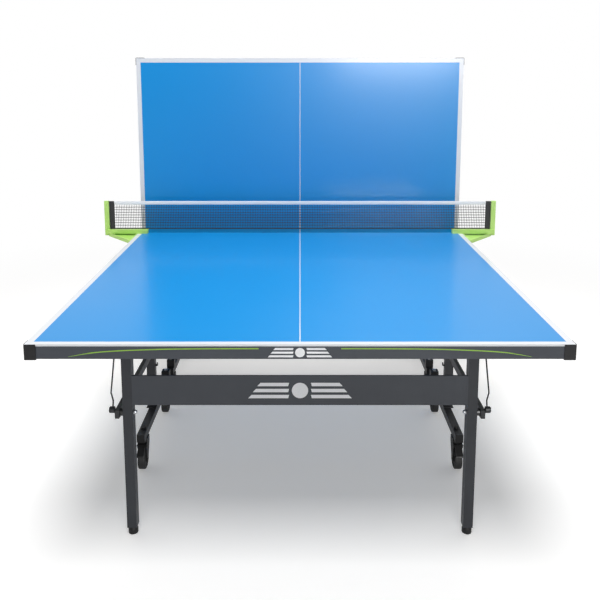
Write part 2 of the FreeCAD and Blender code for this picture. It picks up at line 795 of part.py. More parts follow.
def build_trolley_bolts(half):
    name = f"{half}_trolley_bolts"
    plate_out = "upright_outer + plate_gap + plate_thick"
    main = fuse(name + "_pivot", [
        rod_x(name + "_pivot_bolt", ("upright_inner + 0.5", plate_out + " + nut_thick + 2"),
              "-pivot_back", "pivot_height",
              "bolt_radius"),
        nut_x(name + "_pivot_nut", (plate_out + " + run_gap", plate_out + " + nut_thick"), "-pivot_back",
              "pivot_height",
              "nut_radius"),
    ])
    link = fuse(name + "_link", [
        rod_x(name + "_link_bolt", ("link_inner - nut_thick", "upright_outer + nut_thick"), "-pivot_back",
              "link_height",
              "bolt_radius"),
        nut_x(name + "_link_head", ("link_inner - nut_thick", "link_inner - run_gap"), "-pivot_back",
              "link_height",
              "nut_radius"),
        nut_x(name + "_link_nut", ("upright_outer", "upright_outer + nut_thick"), "-pivot_back",
              "link_height",
              "nut_radius"),
    ])
    top = doc.addObject("Part::Prism", name + "_block_screw")
    top.Polygon = hex_sides
    bind(top, "Circumradius", "nut_radius")
    bind(top, "Height", "nut_thick")
    bind(top, "Placement.Base.x", "rail_centre")
    bind(top, "Placement.Base.y", "-stem_net_end")
    bind(top, "Placement.Base.z", "rail_top + bumper_tall")
    finish_node(both_sides(name, [main, link, top]), name, half, "trolley")


# The casters, each drawn about its own stem, trailing along -Y -----------------------------

def build_fork(name, half, side, stem, has_pedal):
    body = new_body(name)
    top = "rail_low - swivel_gap"
    outline = new_sketch(body, name + "_outline", "YZ_Plane")
    corners = [
        ("17", top), ("18", f"{top} - 24"), ("-wheel_trail + 10", "wheel_radius - 8"),
        ("-wheel_trail - 9", "wheel_radius - 8"), ("-wheel_trail - 13", "wheel_radius + 8"),
    ]
    back = "-pedal_pin_back"
    if has_pedal:
        corners += [("-wheel_trail - 8", "pedal_pin_height - 14"),
                    (f"{back} - 5", "pedal_pin_height - 5"),
                    (f"{back} - 5", "pedal_pin_height + 5"), ("-22", "pedal_pin_height + 9")]
    else:
        corners += [("-24", f"{top} - 20")]
    corners += [("-18", top)]
    add_loop(outline, corners)
    pad(body, outline, "fork_width", both_ways=True)
    wheel_room = new_sketch(body, name + "_wheel_room", "YZ_Plane")
    add_circle(wheel_room, "-wheel_trail", "wheel_radius", "wheel_radius + wheel_gap")
    pocket(body, wheel_room, "wheel_width + wheel_gap")
    if has_pedal:
        pedal_room = new_sketch(body, name + "_pedal_room", "YZ_Plane")
        add_loop(pedal_room,
                 rectangle((f"{back} - 9", f"{back} + 7"),
                           ("pedal_pin_height - 20", "pedal_pin_height + 10")))
        pocket(body, pedal_room, "pedal_width + 1")
    axle = new_sketch(body, name + "_axle", "YZ_Plane")
    add_circle(axle, "-wheel_trail", "wheel_radius", "axle_radius")
    if has_pedal:
        add_circle(axle, back, "pedal_pin_height", "pedal_pin_radius")
    pad(body, axle, "fork_width + 2 * axle_over", both_ways=True)
    post = new_sketch(body, name + "_stem", "XY_Plane", {"z": f"{top} - 1"})
    add_circle(post, "0", "0", "stem_radius")
    pad(body, post, "1 + swivel_gap + rail_size + swivel_gap + stem_nut_thick")
    nut = new_sketch(body, name + "_nut", "XY_Plane", {"z": "rail_top + swivel_gap"})
    add_loop(nut, [(f"stem_nut_radius * cos({60 * i})", f"stem_nut_radius * sin({60 * i})")
                   for i in range(hex_sides)])
    pad(body, nut, "stem_nut_thick")
    finish_turned_node(body, name, half, "trolley", side, "rail_centre", f"-{stem}")


def build_wheel(name, half, side, stem):
    body = new_body(name)
    section = new_sketch(body, name + "_section", "XY_Plane", {"y": "-wheel_trail", "z": "wheel_radius"})
    edge = "wheel_width / 2"
    rim = [("axle_radius + run_gap", 0), ("11", 0), ("13", 3), ("wheel_radius - 11", 3),
           ("wheel_radius - 9", 0.6),
           ("wheel_radius - 4", 0), ("wheel_radius - 1", 1.5), ("wheel_radius", 5)]
    right = [(f"{edge} - {inset}", radius) for radius, inset in rim]
    left = [(f"-{edge} + {inset}", radius) for radius, inset in reversed(rim)]
    add_loop(section, right + left)
    revolve(body, section, "H_Axis")
    finish_turned_node(body, name, half, "trolley", side, "rail_centre", f"-{stem}")


def build_pedal(name, half, side, stem):
    body = new_body(name)
    outline = new_sketch(body, name + "_outline", "YZ_Plane")
    pin_y, pin_z = "-pedal_pin_back", "pedal_pin_height"
    add_loop(outline, [
        (f"{pin_y} + 4", f"{pin_z} - 4"), (f"{pin_y} + 4", f"{pin_z} + 4"),
        (f"{pin_y} - 4", f"{pin_z} + 6"),
        ("-pedal_reach + 2", f"{pin_z} - 22"), ("-pedal_reach", f"{pin_z} - 27"),
        ("-pedal_reach + 5", f"{pin_z} - 30"),
        (f"{pin_y} - 8", f"{pin_z} - 9"),
    ])
    add_circle(outline, pin_y, pin_z, "pedal_pin_radius + run_gap")
    pad(body, outline, "pedal_width", both_ways=True)
    finish_turned_node(body, name, half, "trolley", side, "rail_centre", f"-{stem}")


# The net and its clamps, on the flat half ----------------------------------------------------

def build_net():
    name = "net_fabric"
    high = ("table_height + net_bottom", "table_height + net_height - 1.5")
    face = box(name + "_face", ("-post_inner + net_gap", "post_inner - net_gap"),
               ("-net_thick / 2", "net_thick / 2"), high)
    sleeve = box(name + "_sleeve", ("post_inner - sleeve_wide", "post_inner - net_gap"),
                 ("-sleeve_deep / 2", "sleeve_deep / 2"), high)
    finish_node(fuse(name, [face, sleeve, mirrored(name + "_left_sleeve", sleeve)]), name, "near", "top")


def build_clamp(side_name):
    """Post, arm over the board, ribbed wing and the jaw under the side rail, in one moulding."""
    name = f"net_clamp_{side_name}"
    side_y = ("arm_back - arm_wide", "arm_back")
    post = box(name + "_post", ("post_inner", "post_inner + post_wide"), ("-post_deep + 5", "5"),
               ("table_height - post_below", "table_height + net_height"))
    arm = box(name + "_arm", ("arm_inner", "post_inner + post_wide / 2"), side_y,
              ("table_height", "table_height + arm_thick"))
    jaw_in = "board_side + jaw_gap"
    wing = prism(name + "_wing", wing_outline("0"), "table_height - wing_thick", "wing_thick")
    hollow = prism(name + "_hollow", wing_outline("rim_wide"), "table_height - wing_thick + web_thick",
                   "wing_thick")
    web = cut(name + "_web", wing, [hollow])
    jaw_y = ("-jaw_back - jaw_length / 2", "-jaw_back + jaw_length / 2")
    low = "frame_bottom - jaw_room - jaw_floor"
    wall = box(name + "_wall", (jaw_in, jaw_in + " + jaw_wall"), jaw_y, (low, "table_height - 1"))
    floor = box(name + "_floor", (jaw_in + " - jaw_reach", jaw_in + " + jaw_wall"), jaw_y,
                (low, low + " + jaw_floor"))
    bore = rod_z(name + "_bore", "board_side - screw_inset", "-jaw_back",
                 (low + " - 1", low + " + jaw_floor + 1"),
                 "screw_radius + run_gap")
    whole = fuse(name + "_whole", [post, arm, web, wall, cut(name + "_jaw_floor", floor, [bore])])
    piece = whole if side_name == "right" else mirrored(name, whole)
    finish_node(piece, name, "near", "top")


def wing_outline(inset):
    """The wing seen from above, drawn in by the inset on its three sides."""
    table_edge = f"board_side + jaw_gap + {inset}"
    return [
        (table_edge, f"-2 - {inset}"), (table_edge, f"-wing_reach + 2.4 * {inset}"),
        (f"post_inner + 4 - 2 * {inset}", f"-9 - {inset}"),
        (f"post_inner + 4 - 2 * {inset}", f"-2 - {inset}"),
    ]


def prism(name, corners, low, tall):
    body = new_body(name)
    outline = new_sketch(body, name + "_outline", "XY_Plane", {"z": low})
    add_loop(outline, corners)
    pad(body, outline, tall)
    return body


def build_clamp_screw(side, side_name):
    name = f"clamp_screw_{side_name}"
    body = new_body(name)
    section = new_sketch(body, name + "_section", "XZ_Plane")
    top = "frame_bottom - run_gap"
    low = "frame_bottom - jaw_room - jaw_floor - 6"
    knob_low = f"{low} - screw_knob_thick"
    add_loop(section, [
        ("0", knob_low), ("screw_knob_radius - 2", knob_low), ("screw_knob_radius", f"{knob_low} + 2"),
        ("screw_knob_radius", f"{low} - 2"), ("screw_knob_radius - 2", low), ("screw_radius", low),
        ("screw_radius", f"{top} - screw_pad_thick"), ("screw_pad_radius", f"{top} - screw_pad_thick"),
        ("screw_pad_radius", top), ("0", top),
    ])
    revolve(body, section, "V_Axis")
    scallop = new_sketch(body, name + "_scallop", "XY_Plane", {"z": f"{knob_low} - 1"})
    add_circle(scallop, "screw_knob_radius + 2", "0", "4")
    feature = pocket_up(body, scallop, "screw_knob_thick + 2")
    around = body.newObject("PartDesign::PolarPattern", name + "_around")
    around.Originals = [feature]
    around.Axis = (origin_feature(body, "Z_Axis"), [""])
    around.Angle = 360
    around.Occurrences = knob_scallops
    body.Tip = around
    finish_turned_node(body, name, "near", "top", side, "board_side - screw_inset", "-jaw_back")


def pocket_up(body, sketch, length):
    """A pocket cut upwards from its sketch, checked to have taken something away."""
    doc.recompute()
    before = body.Shape.Volume
    feature = body.newObject("PartDesign::Pocket", sketch.Name + "_pocket")
    feature.Profile = sketch
    feature.Reversed = True
    bind(feature, "Length", length)
    doc.recompute()
    if body.Shape.Volume >= before:
        raise RuntimeError(f"{feature.Name} cuts nothing")
    return feature


# All of it ---------------------------------------------------------------------------------

CASTERS = {"leg_end": ("stem_leg_end", True), "net_end": ("stem_net_end", False)}
SIDES = {"left": -1, "right": 1}


def build_half(half):
    for build in (build_board, build_apron, build_frame, build_caps, build_brackets, build_legs,
                  build_crosspiece,
                  build_leg_bolts, build_links, build_release, build_rails, build_uprights,
                  build_crossbar,
                  build_rail_caps, build_trolley_bolts):
        build(half)
    for side_name, side in SIDES.items():
        build_glide(half, side, side_name)
        for end, (stem, has_pedal) in CASTERS.items():
            corner = f"{half}_{end}_{side_name}"
            build_fork(f"{corner}_fork", half, side, stem, has_pedal)
            build_wheel(f"{corner}_wheel", half, side, stem)
            if has_pedal:
                build_pedal(f"{corner}_pedal", half, side, stem)


def build_all():
    build_half("near")
    build_half("far")
    build_net()
    for side_name, side in SIDES.items():
        build_clamp(side_name)
        build_clamp_screw(side, side_name)
    doc.recompute()


def check_all():
    for thing in doc.Objects:
        if "Invalid" in thing.State or "Error" in thing.State:
            raise RuntimeError(f"{thing.Name} failed: {thing.State}")
    for piece in nodes:
        if piece.Shape.isNull() or not piece.Shape.isValid():
            raise RuntimeError(f"{piece.Label} has no good shape")


def write_all():
    os.makedirs("parts", exist_ok=True)
    for piece in nodes:
        piece.Shape.exportStep(os.path.join("parts", piece.Label + ".step"))
    print(f"{len(nodes)} sub-parts written")


build_all()
check_all()
write_all()
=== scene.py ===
import math
import random

import bpy
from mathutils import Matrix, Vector


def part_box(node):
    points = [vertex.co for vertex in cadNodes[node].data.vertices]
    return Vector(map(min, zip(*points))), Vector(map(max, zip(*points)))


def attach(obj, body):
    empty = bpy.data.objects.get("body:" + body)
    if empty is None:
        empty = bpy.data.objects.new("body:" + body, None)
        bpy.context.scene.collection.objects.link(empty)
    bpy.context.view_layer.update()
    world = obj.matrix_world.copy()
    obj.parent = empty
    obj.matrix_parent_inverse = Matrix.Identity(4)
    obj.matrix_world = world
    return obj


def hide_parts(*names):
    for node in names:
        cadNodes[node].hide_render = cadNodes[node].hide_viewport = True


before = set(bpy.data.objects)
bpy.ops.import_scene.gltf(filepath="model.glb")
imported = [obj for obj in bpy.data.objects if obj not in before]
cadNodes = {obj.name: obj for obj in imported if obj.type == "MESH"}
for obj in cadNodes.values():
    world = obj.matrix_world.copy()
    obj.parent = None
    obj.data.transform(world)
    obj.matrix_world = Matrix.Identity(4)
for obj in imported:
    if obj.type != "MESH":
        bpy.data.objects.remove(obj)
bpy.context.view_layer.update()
print("frame loaded:", len(cadNodes), "nodes")

halves = ("near", "far")
sides = ("left", "right")


# camera and studio

cameraView = {
    "place": (0.0, -2.690, 1.492),
    "pitchDown": 8.35,
    "lens": 41.2,
    "shiftUp": -0.205,
}

studio = {
    "floorSize": 60.0,
    "floorColour": (0.90, 0.892, 0.880, 1),
    "underGlow": 0.29,          # keeps the shadow under the table soft
    "floorGlow": 1.0,           # the bare paper gives way to an even glow, so that it runs out to white
    "glowFrom": 1.2,
    "glowTo": 4.2,
    "skySeen": 1.0,
    "skyBehind": 0.85,          # what lights the table from beyond it
    "skyFront": 0.19,           # the darker room behind the camera
    "skyCeiling": 0.55,
    "skyTurn": (-0.35, 0.55),   # where the front room gives way to the light beyond
    "skyRise": (0.40, 0.85),    # where the walls give way to the dimmer ceiling
}

softboxes = (
    # name, place, aimed at, width, height, watts, lights matt surfaces too
    ("keyLight", (0.0, -2.9, 6.0), (0.0, -0.1, 0.5), 2.5, 2.5, 262, True),
    ("topLight", (0.0, 0.25, 3.4), (0.0, 0.2, 0.7), 1.6, 1.2, 40, True),
    ("panelSheen", (1.30, -5.2, 2.45), (0.4, 0.5, 1.3), 1.6, 1.8, 430, False),
    ("boardSheen", (0.85, 2.3, 4.3), (0.35, -0.1, 0.76), 2.0, 2.4, 110, False),
)


def placeCamera(view):
    lens = bpy.data.cameras.new("studioCamera")
    lens.sensor_width = 36
    lens.lens = view["lens"]
    lens.shift_y = view["shiftUp"]
    lens.clip_end = 200
    camera = bpy.data.objects.new("studioCamera", lens)
    camera.location = view["place"]
    camera.rotation_euler = (math.radians(90 - view["pitchDown"]), 0, 0)
    bpy.context.scene.collection.objects.link(camera)
    bpy.context.scene.camera = camera


def hangSoftbox(name, place, target, wide, high, watts, lightsMatt):
    panel = bpy.data.lights.new(name, "AREA")
    panel.shape = "RECTANGLE"
    panel.size = wide
    panel.size_y = high
    panel.energy = watts
    lamp = bpy.data.objects.new(name, panel)
    lamp.location = place
    lamp.rotation_euler = (Vector(target) - Vector(place)).to_track_quat("-Z", "Y").to_euler()
    lamp.visible_camera = False
    lamp.visible_diffuse = lightsMatt
    bpy.context.scene.collection.objects.link(lamp)


def smoothRange(tree, value, start, end):
    node = tree.nodes.new("ShaderNodeMapRange")
    node.interpolation_type = "SMOOTHSTEP"
    tree.links.new(value, node.inputs["Value"])
    node.inputs["From Min"].default_value, node.inputs["From Max"].default_value = start
    node.inputs["To Min"].default_value, node.inputs["To Max"].default_value = end
    return node.outputs["Result"]


def paintSky(look):
    # plain white to the camera; the table is lit brighter from beyond than from the front
    world = bpy.data.worlds.new("studioSky")
    world.use_nodes = True
    tree = world.node_tree
    background = tree.nodes["Background"]
    direction = tree.nodes.new("ShaderNodeTexCoord").outputs["Generated"]
    split = tree.nodes.new("ShaderNodeSeparateXYZ")
    tree.links.new(direction, split.inputs[0])
    walls = (look["skyFront"], look["skyBehind"])
    gradient = smoothRange(tree, split.outputs["Y"], look["skyTurn"], walls)
    ceiling = smoothRange(tree, split.outputs["Z"], look["skyRise"], (1.0, look["skyCeiling"]))
    dimmed = tree.nodes.new("ShaderNodeMath")
    dimmed.operation = "MULTIPLY"
    tree.links.new(gradient, dimmed.inputs[0])
    tree.links.new(ceiling, dimmed.inputs[1])
    seen = tree.nodes.new("ShaderNodeMix")
    lightPath = tree.nodes.new("ShaderNodeLightPath")
    tree.links.new(lightPath.outputs["Is Camera Ray"], seen.inputs["Factor"])
    tree.links.new(dimmed.outputs[0], seen.inputs[2])
    seen.inputs[3].default_value = look["skySeen"]
    tree.links.new(seen.outputs[0], background.inputs["Strength"])
    background.inputs["Color"].default_value = (1, 1, 1, 1)
    bpy.context.scene.world = world
    bpy.context.scene.view_settings.view_transform = "Standard"


def rollFloor(look):
    half = look["floorSize"] / 2
    floorMesh = bpy.data.meshes.new("studioFloor")
    corners = [(-half, -half, 0), (half, -half, 0), (half, half, 0), (-half, half, 0)]
    floorMesh.from_pydata(corners, [], [(0, 1, 2, 3)])
    floor = bpy.data.objects.new("studioFloor", floorMesh)
    bpy.context.scene.collection.objects.link(floor)
    paper = bpy.data.materials.new("backdropPaper")
    paper.use_nodes = True
    tree = paper.node_tree
    shader = tree.nodes["Principled BSDF"]
    shader.inputs["Roughness"].default_value = 0.95
    shader.inputs["Specular IOR Level"].default_value = 0.0
    shader.inputs["Emission Color"].default_value = (1, 1, 1, 1)
    distance = tree.nodes.new("ShaderNodeVectorMath")
    distance.operation = "LENGTH"
    tree.links.new(tree.nodes.new("ShaderNodeTexCoord").outputs["Object"], distance.inputs[0])
    glow = smoothRange(tree, distance.outputs["Value"], (look["glowFrom"], look["glowTo"]), (0.0, 1.0))
    fade = tree.nodes.new("ShaderNodeMix")
    fade.data_type = "RGBA"
    tree.links.new(glow, fade.inputs["Factor"])
    fade.inputs[6].default_value = look["floorColour"]
    fade.inputs[7].default_value = (0, 0, 0, 1)
    tree.links.new(fade.outputs[2], shader.inputs["Base Color"])
    strength = tree.nodes.new("ShaderNodeMapRange")
    tree.links.new(glow, strength.inputs["Value"])
    strength.inputs["To Min"].default_value = look["underGlow"]
    strength.inputs["To Max"].default_value = look["floorGlow"]
    tree.links.new(strength.outputs["Result"], shader.inputs["Emission Strength"])
    floorMesh.materials.append(paper)


placeCamera(cameraView)
paintSky(studio)
rollFloor(studio)
for softbox in softboxes:
    hangSoftbox(*softbox)
print("camera and studio placed")


# node helpers

def startFinish(name):
    finish = bpy.data.materials.new(name)
    finish.use_nodes = True
    tree = finish.node_tree
    shader = tree.nodes["Principled BSDF"]
    coords = tree.nodes.new("ShaderNodeTexCoord")
    return finish, tree, shader, coords.outputs["Object"]


def plug(tree, value, socket):
    if isinstance(value, bpy.types.NodeSocket):
        tree.links.new(value, socket)
    else:
        socket.default_value = value


def maths(tree, operation, first, second=0.0):
    node = tree.nodes.new("ShaderNodeMath")
    node.operation = operation
    plug(tree, first, node.inputs[0])
    plug(tree, second, node.inputs[1])
    return node.outputs[0]


def splitAxes(tree, vector):
    node = tree.nodes.new("ShaderNodeSeparateXYZ")
    tree.links.new(vector, node.inputs[0])
    return node.outputs[0], node.outputs[1], node.outputs[2]


def speckle(tree, vector, scale, detail=2.0, rough=0.5):
    node = tree.nodes.new("ShaderNodeTexNoise")
    tree.links.new(vector, node.inputs["Vector"])
    node.inputs["Scale"].default_value = scale
    node.inputs["Detail"].default_value = detail
    node.inputs["Roughness"].default_value = rough
    return node.outputs["Fac"]


def spread(tree, value, low, high, fromLow=0.3, fromHigh=0.7):
    node = tree.nodes.new("ShaderNodeMapRange")
    plug(tree, value, node.inputs["Value"])
    node.inputs["From Min"].default_value = fromLow
    node.inputs["From Max"].default_value = fromHigh
    node.inputs["To Min"].default_value = low
    node.inputs["To Max"].default_value = high
    return node.outputs["Result"]


def blendColours(tree, share, first, second):
    node = tree.nodes.new("ShaderNodeMix")
    node.data_type = "RGBA"
    plug(tree, share, node.inputs["Factor"])
    plug(tree, first, node.inputs[6])
    plug(tree, second, node.inputs[7])
    return node.outputs[2]


def raise3d(tree, shader, height, strength, distance):
    node = tree.nodes.new("ShaderNodeBump")
    node.inputs["Strength"].default_value = strength
    node.inputs["Distance"].default_value = distance
    plug(tree, height, node.inputs["Height"])
    tree.links.new(node.outputs["Normal"], shader.inputs["Normal"])


def rgb(red, green, blue):
    return (red, green, blue, 1)


# finishes

boardLook = {
    "blue": rgb(0.0, 0.243, 0.605),
    "blueWorn": rgb(0.0, 0.238, 0.594),
    "line": rgb(0.66, 0.675, 0.70),
    "edge": rgb(0.66, 0.67, 0.69),
    "back": rgb(0.10, 0.13, 0.17),
    "halfWide": 0.7625,
    "sideLine": 0.020,
    "centreLine": 0.003,
    "paintDepth": 0.0004,       # how far the court paint reaches down the edge
    "backDepth": 0.0056,
    "roughness": 0.34,
    "haze": 0.08,
    "coat": 0.35,
    "coatRoughness": 0.16,
    "cloudSize": 1.6,
    "smudgeSize": 2.3,
    "grainSize": 1400.0,
}


def courtLacquer(name, look, lengthAxis, faceAxis, facePlane, endPlace):
    # anti-glare court paint with its lines, a pale edge and a darker back
    finish, tree, shader, place = startFinish(name)
    axes = splitAxes(tree, place)
    along = maths(tree, "ABSOLUTE", axes[lengthAxis])
    across = maths(tree, "ABSOLUTE", axes[0])
    depth = maths(tree, "SUBTRACT", axes[faceAxis], facePlane)
    if faceAxis == 1:           # the upright half shows its face towards -Y
        depth = maths(tree, "MULTIPLY", depth, -1.0)
    side = maths(tree, "GREATER_THAN", across, look["halfWide"] - look["sideLine"])
    end = maths(tree, "GREATER_THAN", along, endPlace - look["sideLine"])
    centre = maths(tree, "LESS_THAN", across, look["centreLine"] / 2)
    painted = maths(tree, "MAXIMUM", maths(tree, "MAXIMUM", side, end), centre)
    cloudy = spread(tree, speckle(tree, place, look["cloudSize"]), 0.0, 1.0)
    field = blendColours(tree, cloudy, look["blue"], look["blueWorn"])
    face = blendColours(tree, painted, field, look["line"])
    onFace = maths(tree, "GREATER_THAN", depth, -look["paintDepth"])
    onBack = maths(tree, "LESS_THAN", depth, -look["backDepth"])
    body = blendColours(tree, onFace, look["edge"], face)
    body = blendColours(tree, onBack, body, look["back"])
    tree.links.new(body, shader.inputs["Base Color"])
    smudges = speckle(tree, place, look["smudgeSize"], 3.0)
    smudge = spread(tree, smudges, look["roughness"] - 0.015, look["roughness"] + 0.02)
    tree.links.new(smudge, shader.inputs["Roughness"])
    shader.inputs["IOR"].default_value = 1.27
    shader.inputs["Coat Weight"].default_value = look["coat"]
    shader.inputs["Coat Roughness"].default_value = look["coatRoughness"]
    shader.inputs["Coat IOR"].default_value = 1.30
    shader.inputs["Sheen Weight"].default_value = look["haze"]
    shader.inputs["Sheen Roughness"].default_value = 0.35
    raise3d(tree, shader, speckle(tree, place, look["grainSize"]), 0.12, 0.0002)
    return finish


powderLook = {
    "grey": {
        "colour": rgb(0.040, 0.046, 0.058),
        "light": rgb(0.046, 0.053, 0.066),
        "roughness": 0.44,
    },
    "legGrey": {
        "colour": rgb(0.021, 0.024, 0.031),
        "light": rgb(0.025, 0.029, 0.037),
        "roughness": 0.46,
    },
    "black": {
        "colour": rgb(0.022, 0.024, 0.028),
        "light": rgb(0.027, 0.029, 0.034),
        "roughness": 0.48,
    },
}


def powderCoat(name, look):
    finish, tree, shader, place = startFinish(name)
    drift = spread(tree, speckle(tree, place, 9.0, 3.0), 0.0, 1.0)
    colour = blendColours(tree, drift, look["colour"], look["light"])
    tree.links.new(colour, shader.inputs["Base Color"])
    texture = speckle(tree, place, 60.0, 4.0)
    rough = spread(tree, texture, look["roughness"] - 0.05, look["roughness"] + 0.07)
    tree.links.new(rough, shader.inputs["Roughness"])
    shader.inputs["IOR"].default_value = 1.38
    raise3d(tree, shader, speckle(tree, place, 620.0, 2.0), 0.25, 0.0003)
    return finish


mouldedLook = {
    "blackPlastic": {
        "colour": rgb(0.006, 0.006, 0.007),
        "light": rgb(0.010, 0.010, 0.011),
        "roughness": 0.50,
        "grain": 1500.0,
        "ior": 1.33,
    },
    "blackRubber": {
        "colour": rgb(0.016, 0.016, 0.017),
        "light": rgb(0.026, 0.026, 0.027),
        "roughness": 0.72,
        "grain": 900.0,
        "ior": 1.40,
    },
    "limePlastic": {
        "colour": rgb(0.41, 0.68, 0.135),
        "light": rgb(0.45, 0.72, 0.17),
        "roughness": 0.38,
        "grain": 1300.0,
        "ior": 1.50,
    },
}


def mouldedPlastic(name, look):
    finish, tree, shader, place = startFinish(name)
    drift = spread(tree, speckle(tree, place, 30.0, 3.0), 0.0, 1.0)
    colour = blendColours(tree, drift, look["colour"], look["light"])
    tree.links.new(colour, shader.inputs["Base Color"])
    texture = speckle(tree, place, 80.0, 3.0)
    rough = spread(tree, texture, look["roughness"] - 0.05, look["roughness"] + 0.06)
    tree.links.new(rough, shader.inputs["Roughness"])
    shader.inputs["IOR"].default_value = look["ior"]
    raise3d(tree, shader, speckle(tree, place, look["grain"], 2.0), 0.3, 0.00015)
    return finish


zincLook = {
    "colour": rgb(0.46, 0.47, 0.49),
    "dull": rgb(0.33, 0.34, 0.36),
    "roughness": 0.38,
    "spacer": rgb(0.008, 0.008, 0.009),
    "spacerOutside": 0.5672,
}


def zincPlate(name, look, spacerBelow=None):
    # plated bolts; the spacers beside the legs, below the given height, are black plastic
    finish, tree, shader, place = startFinish(name)
    drift = spread(tree, speckle(tree, place, 140.0, 4.0), 0.0, 1.0)
    plated = blendColours(tree, drift, look["colour"], look["dull"])
    metal = 1.0
    if spacerBelow:
        axes = splitAxes(tree, place)
        outside = maths(tree, "GREATER_THAN", maths(tree, "ABSOLUTE", axes[0]), look["spacerOutside"])
        spacer = maths(tree, "MULTIPLY", outside, maths(tree, "LESS_THAN", axes[2], spacerBelow))
        plated = blendColours(tree, spacer, plated, look["spacer"])
        metal = maths(tree, "SUBTRACT", 1.0, spacer)
    tree.links.new(plated, shader.inputs["Base Color"])
    texture = speckle(tree, place, 320.0, 3.0)
    rough = spread(tree, texture, look["roughness"] - 0.08, look["roughness"] + 0.12)
    tree.links.new(rough, shader.inputs["Roughness"])
    plug(tree, metal, shader.inputs["Metallic"])
    raise3d(tree, shader, speckle(tree, place, 1100.0, 2.0), 0.15, 0.0001)
    return finish


def dressNode(name, finish):
    node = cadNodes[name]
    if not node.data.materials:
        node.data.materials.append(finish)
    for slot in node.material_slots:
        slot.material = finish


greyPowder = powderCoat("greyPowder", powderLook["grey"])
legPowder = powderCoat("legPowder", powderLook["legGrey"])
blackPowder = powderCoat("blackPowder", powderLook["black"])
blackPlastic = mouldedPlastic("blackPlastic", mouldedLook["blackPlastic"])
blackRubber = mouldedPlastic("blackRubber", mouldedLook["blackRubber"])
limePlastic = mouldedPlastic("limePlastic", mouldedLook["limePlastic"])
zinc = zincPlate("zinc", zincLook)

nearLow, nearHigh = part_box("near_top_board")
farLow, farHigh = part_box("far_top_board")
nearCourt = courtLacquer("nearCourt", boardLook, 1, 2, nearHigh.z, -nearLow.y)
farCourt = courtLacquer("farCourt", boardLook, 2, 1, farLow.y, farHigh.z)
dressNode("near_top_board", nearCourt)
dressNode("far_top_board", farCourt)

blackSteelParts = (
    "side_frame", "hinge_brackets", "link_bars", "release_linkage",
    "trolley_rails", "trolley_uprights", "trolley_crossbar",
)

for half in halves:
    for part in ("end_apron", "leg_crosspiece"):
        dressNode(f"{half}_{part}", greyPowder)
    dressNode(f"{half}_leg_tubes", legPowder)
    for part in blackSteelParts:
        dressNode(f"{half}_{part}", blackPowder)
    for part in ("corner_caps", "rail_caps"):
        dressNode(f"{half}_{part}", blackPlastic)
    dressNode(f"{half}_trolley_bolts", zinc)
    barLow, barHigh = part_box(f"{half}_leg_crosspiece")
    spacerBelow = barLow.z if half == "near" else barHigh.z
    dressNode(f"{half}_leg_bolts", zincPlate(f"{half}Zinc", zincLook, spacerBelow))
    for side in sides:
        dressNode(f"{half}_leg_glide_{side}", blackPlastic)
        dressNode(f"{half}_leg_end_{side}_pedal", blackPlastic)
        for corner in ("leg_end", "net_end"):
            dressNode(f"{half}_{corner}_{side}_fork", blackPlastic)
            dressNode(f"{half}_{corner}_{side}_wheel", blackRubber)
for side in sides:
    dressNode(f"net_clamp_{side}", limePlastic)
    dressNode(f"clamp_screw_{side}", blackPlastic)
print("finishes on the frame")


# mesh helpers

def makePiece(name, points, faces, finish, smooth=False):
    mesh = bpy.data.meshes.new(name)
    mesh.from_pydata(points, [], faces)
    mesh.validate()
    mesh.update()
    if smooth:
        mesh.polygons.foreach_set("use_smooth", [True] * len(mesh.polygons))
    piece = bpy.data.objects.new(name, mesh)
    bpy.context.scene.collection.objects.link(piece)
    mesh.materials.append(finish)
    return piece


def addTube(points, faces, line, sideways, ringSize, wide, deep, swell=None):
    # a closed oval tube along line; sideways is the direction of its wide way
    start = len(points)
    steps = len(line)
    for i, spot in enumerate(line):
        ahead = Vector(line[min(i + 1, steps - 1)]) - Vector(line[max(i - 1, 0)])
        ahead.normalize()
        wideWay = Vector(sideways) - ahead * ahead.dot(Vector(sideways))
        wideWay.normalize()
        deepWay = ahead.cross(wideWay)
        grow = swell[i] if swell else 1.0
        for k in range(ringSize):
            turn = 2 * math.pi * k / ringSize
            out = wideWay * (math.cos(turn) * wide / 2 * grow)
            out += deepWay * (math.sin(turn) * deep / 2 * grow)
            points.append(tuple(Vector(spot) + out))
    for i in range(steps - 1):
        for k in range(ringSize):
            a = start + i * ringSize + k
            b = start + i * ringSize + (k + 1) % ringSize
            faces.append((a, b, b + ringSize, a + ringSize))
    faces.append(tuple(start + k for k in reversed(range(ringSize))))
    last = start + (steps - 1) * ringSize
    faces.append(tuple(last + k for k in range(ringSize)))


# net

netLook = {
    "cellWide": 0.0079,
    "cellHigh": 0.0118,
    "stringWide": 0.0018,
    "stringDeep": 0.0010,
    "knotSwell": 1.35,
    "wander": 0.00035,
    "between": 0.86,            # how much thinner a string is between its knots
    "stringRing": 5,
    "bandSteps": 90,
    "tapeHigh": 0.0165,
    "tapeDeep": 0.0034,
    "sway": 0.0004,
    "cordBulge": 1.24,
    "hemHigh": 0.0052,
    "hemDeep": 0.0026,
    "hemTuck": 0.01,            # how far the hem runs into the sleeves
    "sleeveWide": 0.025,
    "sleeveDeep": 0.0072,
    "sleeveSteps": 28,
    "sleeveRing": 20,
    "clothShare": 0.45,         # cloth in the net's outline, holes left out
    "string": rgb(0.008, 0.009, 0.013),
    "stringLight": rgb(0.020, 0.022, 0.028),
    "tape": rgb(0.82, 0.83, 0.84),
    "tapeShade": rgb(0.72, 0.73, 0.75),
    "sleeve": rgb(0.006, 0.006, 0.007),
    "sleeveLight": rgb(0.013, 0.013, 0.015),
}


